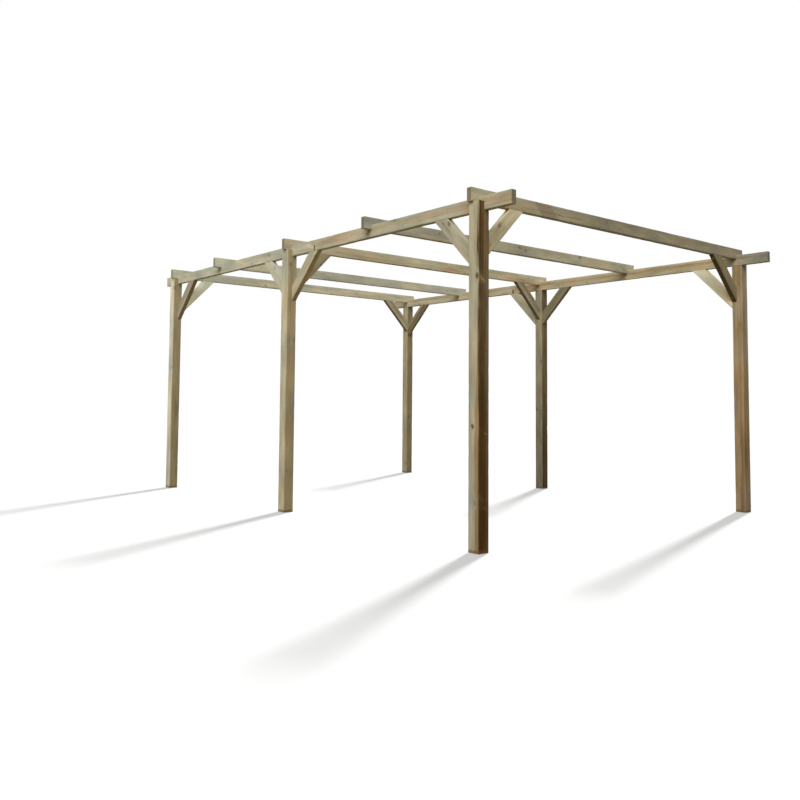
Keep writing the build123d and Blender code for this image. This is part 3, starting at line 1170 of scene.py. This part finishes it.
def zinc_material():
    """Dulled zinc plating with a little tarnish."""
    material, w = start_material("Screw zinc")
    place = w.put("ShaderNodeTexCoord").outputs["Object"]
    cloud = w.noise(w.vector("MULTIPLY", place, (420.0, 420.0, 420.0)), 3.0)
    zinc = tuple(bpy.context.scene.carport_finish.zinc)
    dull = tuple(0.45 * channel for channel in zinc)
    w.surface(w.put("ShaderNodeBsdfPrincipled", {
        "Base Color": w.mix(w.ramp(cloud, 0.35, 0.7), zinc, dull),
        "Roughness": w.math("MULTIPLY_ADD", cloud, 0.35, 0.28), "Metallic": 1.0}))
    return material


class CARPORT_OT_posts(bpy.types.Operator):
    """Skin the six posts, whose heads keep an outer tongue beside the beam's seat"""

    bl_idname = "carport.posts"
    bl_label = "Build posts"

    def execute(self, context):
        sizes = context.scene.carport_timber
        for side_name, side in SIDES.items():
            beam_low, beam_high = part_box(f"beam_{side_name}_front")
            for row in POST_ROWS:
                post = boxed_timber("post", f"post_{side_name}_{row}", Z, X, sizes.post_arris)
                middle_x, _, foot_z = post.near_end
                seat = beam_low.z - foot_z
                left_tongue = (-math.inf, beam_low.x - middle_x)
                right_tongue = (beam_high.x - middle_x, math.inf)
                tongue = left_tongue if side < 0 else right_tongue
                post.spans = [(0.0, seat, NO_CUT), (seat, post.length, (*tongue, -math.inf, math.inf))]
                build_timber(post, sizes)
        return {"FINISHED"}


class CARPORT_OT_beams(bpy.types.Operator):
    """Skin the four lengths of the two beams, lapped half over half"""

    bl_idname = "carport.beams"
    bl_label = "Build beams"

    def execute(self, context):
        sizes = context.scene.carport_timber
        for side_name in SIDES:
            front_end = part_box(f"beam_{side_name}_front")[1].y
            rear_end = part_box(f"beam_{side_name}_rear")[0].y
            for row in BEAM_ROWS:
                beam = boxed_timber("beam", f"beam_{side_name}_{row}", Y, Z, sizes.rail_arris)
                near_y = beam.near_end[Y]
                below = LOWER_LENGTH[side_name] == row
                half = (-math.inf, 0.0) if below else (0.0, math.inf)
                lip = (*half, -math.inf, math.inf)
                gap = sizes.splice_gap if below else sizes.lower_lip_gap
                if row == "front":
                    shoulder = rear_end - gap - near_y
                    beam.spans = [(0.0, shoulder, NO_CUT), (shoulder, beam.length, lip)]
                else:
                    shoulder = front_end + gap - near_y
                    beam.spans = [(0.0, shoulder, lip), (shoulder, beam.length, NO_CUT)]
                build_timber(beam, sizes)
        return {"FINISHED"}


class CARPORT_OT_rafters(bpy.types.Operator):
    """Skin the five rafters, each notched down over both beams"""

    bl_idname = "carport.rafters"
    bl_label = "Build rafters"

    def execute(self, context):
        sizes = context.scene.carport_timber
        for row in RAFTER_ROWS:
            rafter = boxed_timber("rafter", f"rafter_{row}", X, Z, sizes.rail_arris)
            left_x, _, middle_z = rafter.near_end
            spans = []
            reached = 0.0
            for side_name in SIDES:
                beam_low, beam_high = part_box(f"beam_{side_name}_front")
                notch_start = beam_low.x - sizes.notch_play - left_x
                notch_end = beam_high.x + sizes.notch_play - left_x
                over_beam = (beam_high.z - middle_z, math.inf, -math.inf, math.inf)
                spans += [(reached, notch_start, NO_CUT), (notch_start, notch_end, over_beam)]
                reached = notch_end
            rafter.spans = spans + [(reached, rafter.length, NO_CUT)]
            build_timber(rafter, sizes)
        return {"FINISHED"}


def brace_names():
    """Names of the knee braces with the direction in which each leaves its post."""
    names = {}
    for side_name, side in SIDES.items():
        for row in POST_ROWS:
            names[f"brace_{side_name}_{row}_rafter"] = Vector((-side, 0, 0))
            if row != "front":
                names[f"brace_{side_name}_{row}_forward"] = Vector((0, -1, 0))
            if row != "rear":
                names[f"brace_{side_name}_{row}_backward"] = Vector((0, 1, 0))
    return names


def brace_timber(name, outward, sizes):
    """A knee brace's axes: its middle line starts on the post's face and climbs at 45 degrees."""
    low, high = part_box(name)
    middle = (low + high) / 2
    reach = high.z - low.z
    thickness = high.x - low.x if outward.y else high.y - low.y
    middle_reach = reach - sizes.brace_depth / math.sqrt(2)
    corner = Vector((middle.x, middle.y, high.z)) - outward * reach / 2
    start = corner - UP * middle_reach
    brace = Timber("brace", name, start, (outward + UP).normalized(), (outward - UP).normalized(),
                   middle_reach * math.sqrt(2), sizes.brace_depth, thickness, sizes.rail_arris)
    brace.mitre = 1.0
    brace.eased_ends = (False, False)
    return brace


class CARPORT_OT_braces(bpy.types.Operator):
    """Skin the fourteen knee braces, mitred at both ends"""

    bl_idname = "carport.braces"
    bl_label = "Build braces"

    def execute(self, context):
        sizes = context.scene.carport_timber
        for name, outward in brace_names().items():
            build_timber(brace_timber(name, outward, sizes), sizes)
        return {"FINISHED"}


# Facets round a screw's head, lobes of its recess, and the share of the radius that they swing by
HEAD_SIDES = 24
LOBES = 6
LOBE_SWING = 0.08


def screw_head(fixings):
    """Points and faces of one flat screw head with a six-lobed recess, facing +Z."""
    radius = fixings.head_diameter / 2
    rise = fixings.head_rise
    recess = rise - fixings.recess_depth
    # Rings from under the wood's face to the bottom of the recess: share of the radius, swing and height
    rings = ((1.0, 0.0, -rise), (1.0, 0.0, 0.5 * rise), (0.93, 0.0, rise), (0.50, LOBE_SWING, rise),
             (0.46, LOBE_SWING, recess), (0.16, 0.0, recess))
    points = []
    for share, swing, height in rings:
        for step in range(HEAD_SIDES):
            turn = math.tau * step / HEAD_SIDES
            reach = radius * (share + swing * math.cos(LOBES * turn))
            points.append((reach * math.cos(turn), reach * math.sin(turn), height))
    faces = []
    for ring in range(len(rings) - 1):
        for step in range(HEAD_SIDES):
            after = (step + 1) % HEAD_SIDES
            near, far = ring * HEAD_SIDES, (ring + 1) * HEAD_SIDES
            faces.append((near + step, near + after, far + after, far + step))
    inner = (len(rings) - 1) * HEAD_SIDES
    faces.append(tuple(range(inner, inner + HEAD_SIDES)))
    faces.append(tuple(reversed(range(HEAD_SIDES))))
    return points, faces


def build_screws(name, seats, material, fixings):
    """Join screw heads into one piece; a seat is (place, direction the head faces)."""
    head_points, head_faces = screw_head(fixings)
    points = []
    faces = []
    rng = random.Random(name)
    for place, facing in seats:
        turn = facing.to_track_quat("Z", "Y").to_matrix().to_4x4()
        spin = Matrix.Rotation(rng.uniform(0.0, math.tau), 4, "Z")
        seat = Matrix.Translation(place) @ turn @ spin
        first = len(points)
        points += [seat @ Vector(point) for point in head_points]
        faces += [tuple(first + k for k in face) for face in head_faces]
    mesh = bpy.data.meshes.new(name)
    mesh.from_pydata(points, [], faces)
    add_piece(name, mesh, material, SCREW_SHARP)


def brace_seats(sizes):
    """Seats of the screws under both ends of each brace."""
    seats = []
    for name, outward in brace_names().items():
        brace = brace_timber(name, outward, sizes)
        across = Vector(brace.wide)
        for place in (0.0, brace.length):
            point = Vector(brace.near_end) + Vector(brace.along) * place + across * brace.half_wide
            seats.append((point, across))
    return seats


def post_seats(edge):
    """Seats of the two screws through the beam's inner face into each post's tongue."""
    seats = []
    for side_name, side in SIDES.items():
        beam_low, beam_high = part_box(f"beam_{side_name}_front")
        inner_x = beam_high.x if side < 0 else beam_low.x
        for row in POST_ROWS:
            low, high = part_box(f"post_{side_name}_{row}")
            for y, z in ((low.y + edge, beam_low.z + edge), (high.y - edge, beam_high.z - edge)):
                seats.append((Vector((inner_x, y, z)), Vector((-side, 0, 0))))
    return seats


def lap_seats():
    """Seats of the screws down through the laps of the beams."""
    seats = []
    for side_name in SIDES:
        beam_low, beam_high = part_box(f"beam_{side_name}_front")
        rear_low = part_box(f"beam_{side_name}_rear")[0]
        middle_x = (beam_low.x + beam_high.x) / 2
        middle_y = (rear_low.y + beam_high.y) / 2
        seats.append((Vector((middle_x, middle_y, beam_high.z)), UP))
    return seats


def rafter_seats():
    """Seats of the screws down through the rafters into the beams."""
    seats = []
    for row in RAFTER_ROWS:
        low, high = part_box(f"rafter_{row}")
        for side_name in SIDES:
            beam_low, beam_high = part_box(f"beam_{side_name}_front")
            seats.append((Vector(((beam_low.x + beam_high.x) / 2, (low.y + high.y) / 2, high.z)), UP))
    return seats


class CARPORT_OT_screws(bpy.types.Operator):
    """Drive the screws of the braces, beams, laps and rafters"""

    bl_idname = "carport.screws"
    bl_label = "Build screws"

    def execute(self, context):
        fixings = context.scene.carport_fixings
        material = zinc_material()
        screws = {
            "brace_screws": brace_seats(context.scene.carport_timber),
            "post_screws": post_seats(fixings.edge_distance),
            "lap_screws": lap_seats(),
            "rafter_screws": rafter_seats(),
        }
        for name, seats in screws.items():
            build_screws(name, seats, material, fixings)
        return {"FINISHED"}


def blend_by_view(w, lighting, seen):
    """Mix two shaders: one for lighting, and one for the camera and what a shiny or clear surface shows."""
    path = w.put("ShaderNodeLightPath").outputs
    share = w.math("MAXIMUM", path["Is Camera Ray"], path["Is Glossy Ray"])
    share = w.math("MAXIMUM", share, path["Is Transmission Ray"])
    return w.put("ShaderNodeMixShader", (share, lighting.outputs[0], seen.outputs[0]))


def floor_material(stage):
    """A pale matt floor that throws only a little warm light back up."""
    material, w = start_material("Studio floor")
    pale = w.put("ShaderNodeBsdfDiffuse", {"Color": stage.floor_colour})
    bounce = w.put("ShaderNodeBsdfDiffuse", {"Color": stage.bounce_colour})
    w.surface(blend_by_view(w, bounce, pale))
    return material


def build_floor(stage):
    """A plain square floor just under the posts' feet."""
    half = stage.floor_size / 2
    level = cad_low.z - FLOOR_DROP
    corners = [(-half, -half, level), (half, -half, level), (half, half, level), (-half, half, level)]
    mesh = bpy.data.meshes.new("floor")
    mesh.from_pydata(corners, [], [(0, 1, 2, 3)])
    mesh.materials.append(floor_material(stage))
    floor = add_object("floor", mesh)
    return floor


def build_world(stage):
    """White where it is looked at, and soft even light everywhere else."""
    world = bpy.data.worlds.new("Studio")
    world.use_nodes = True
    bpy.context.scene.world = world
    w = Wiring(world.node_tree)
    white = w.put("ShaderNodeBackground", {"Color": (1.0, 1.0, 1.0), "Strength": 1.0})
    sky = w.put("ShaderNodeBackground", {"Color": stage.sky_colour, "Strength": stage.sky_strength})
    w.surface(blend_by_view(w, sky, white), "ShaderNodeOutputWorld")


def linked(name, members):
    """A collection that holds some objects, for a light to be limited to them."""
    holder = bpy.data.collections.new(name)
    for member in members:
        holder.objects.link(member)
    return holder


def add_sun(name, toward, strength, spread, receivers):
    """A distant light on some objects alone; toward points to it, and its spread is in degrees."""
    sun = bpy.data.lights.new(name, "SUN")
    sun.energy = strength
    sun.angle = math.radians(spread)
    lamp = add_object(name, sun)
    lamp.rotation_euler = Vector(toward).to_track_quat("Z", "Y").to_euler()
    lamp.light_linking.receiver_collection = linked(f"{name} falls on", receivers)
    return lamp


def add_low_light(name, light, strength, floor):
    """A low light that falls on the floor alone, and is stopped only by the posts that it is for."""
    turn = math.radians(light.turn)
    height = math.radians(light.height)
    level = math.cos(height)
    toward = (math.cos(turn) * level, math.sin(turn) * level, math.sin(height))
    lamp = add_sun(name, toward, strength / math.sin(height), light.spread, [floor])
    blockers = [piece for piece in bpy.context.scene.objects if piece.name.startswith(light.posts)]
    lamp.light_linking.blocker_collection = linked(f"{name} stopped by", blockers)


def add_camera(stage):
    """The camera, at the angle from which the frame is shown."""
    camera = bpy.data.cameras.new("Camera")
    camera.sensor_width = SENSOR_WIDTH
    camera.lens = stage.camera_lens
    camera.shift_x, camera.shift_y = stage.camera_shift
    camera.clip_end = VIEW_REACH
    holder = add_object("Camera", camera)
    holder.matrix_world = (
        Matrix.Translation(stage.camera_place)
        @ Matrix.Rotation(-stage.camera_yaw, 4, "Z")
        @ Matrix.Rotation(math.pi / 2 + stage.camera_pitch, 4, "X")
        @ Matrix.Rotation(stage.camera_roll, 4, "Z")
    )
    bpy.context.scene.camera = holder


class CARPORT_OT_stage(bpy.types.Operator):
    """Set the plain floor, the soft light and the camera"""

    bl_idname = "carport.stage"
    bl_label = "Build stage"

    def execute(self, context):
        stage = context.scene.carport_stage
        pieces = [piece for piece in context.scene.objects if piece.type == "MESH"]
        floor = build_floor(stage)
        build_world(stage)
        add_sun("Key", KEY.toward, stage.key_strength, KEY.spread, pieces)
        add_sun("Fill", FILL.toward, stage.fill_strength, FILL.spread, pieces)
        for name, light in LOW_LIGHTS.items():
            add_low_light(name, light, stage.shadow_strength, floor)
        add_camera(stage)
        context.scene.view_settings.view_transform = "Standard"
        return {"FINISHED"}


class VIEW3D_PT_carport(bpy.types.Panel):
    """Sidebar panel with the carport's sizes, colours and steps"""

    bl_label = "Carport"
    bl_idname = "VIEW3D_PT_carport"
    bl_space_type = "VIEW_3D"
    bl_region_type = "UI"
    bl_category = "Carport"

    def draw(self, context):
        layout = self.layout
        for holder in HOLDERS:
            group = getattr(context.scene, holder)
            box = layout.box()
            for name in group.bl_rna.properties.keys():
                if name not in ("rna_type", "name"):
                    box.prop(group, name)
        for operator in OPERATORS:
            layout.operator(operator.bl_idname)


HOLDERS = {
    "carport_timber": CarportTimberSizes,
    "carport_finish": CarportFinish,
    "carport_fixings": CarportFixings,
    "carport_stage": CarportStage,
}
OPERATORS = (CARPORT_OT_posts, CARPORT_OT_beams, CARPORT_OT_rafters, CARPORT_OT_braces,
             CARPORT_OT_screws, CARPORT_OT_stage)
CLASSES = (*HOLDERS.values(), *OPERATORS, VIEW3D_PT_carport)


def register():
    for cls in CLASSES:
        bpy.utils.register_class(cls)
    for holder, group in HOLDERS.items():
        setattr(bpy.types.Scene, holder, bpy.props.PointerProperty(type=group))


def unregister():
    for holder in HOLDERS:
        delattr(bpy.types.Scene, holder)
    for cls in reversed(CLASSES):
        bpy.utils.unregister_class(cls)


def main():
    register()
    bpy.ops.carport.posts()
    bpy.ops.carport.beams()
    bpy.ops.carport.rafters()
    bpy.ops.carport.braces()
    bpy.ops.carport.screws()
    bpy.ops.carport.stage()


if __name__ == "__main__":
    main()
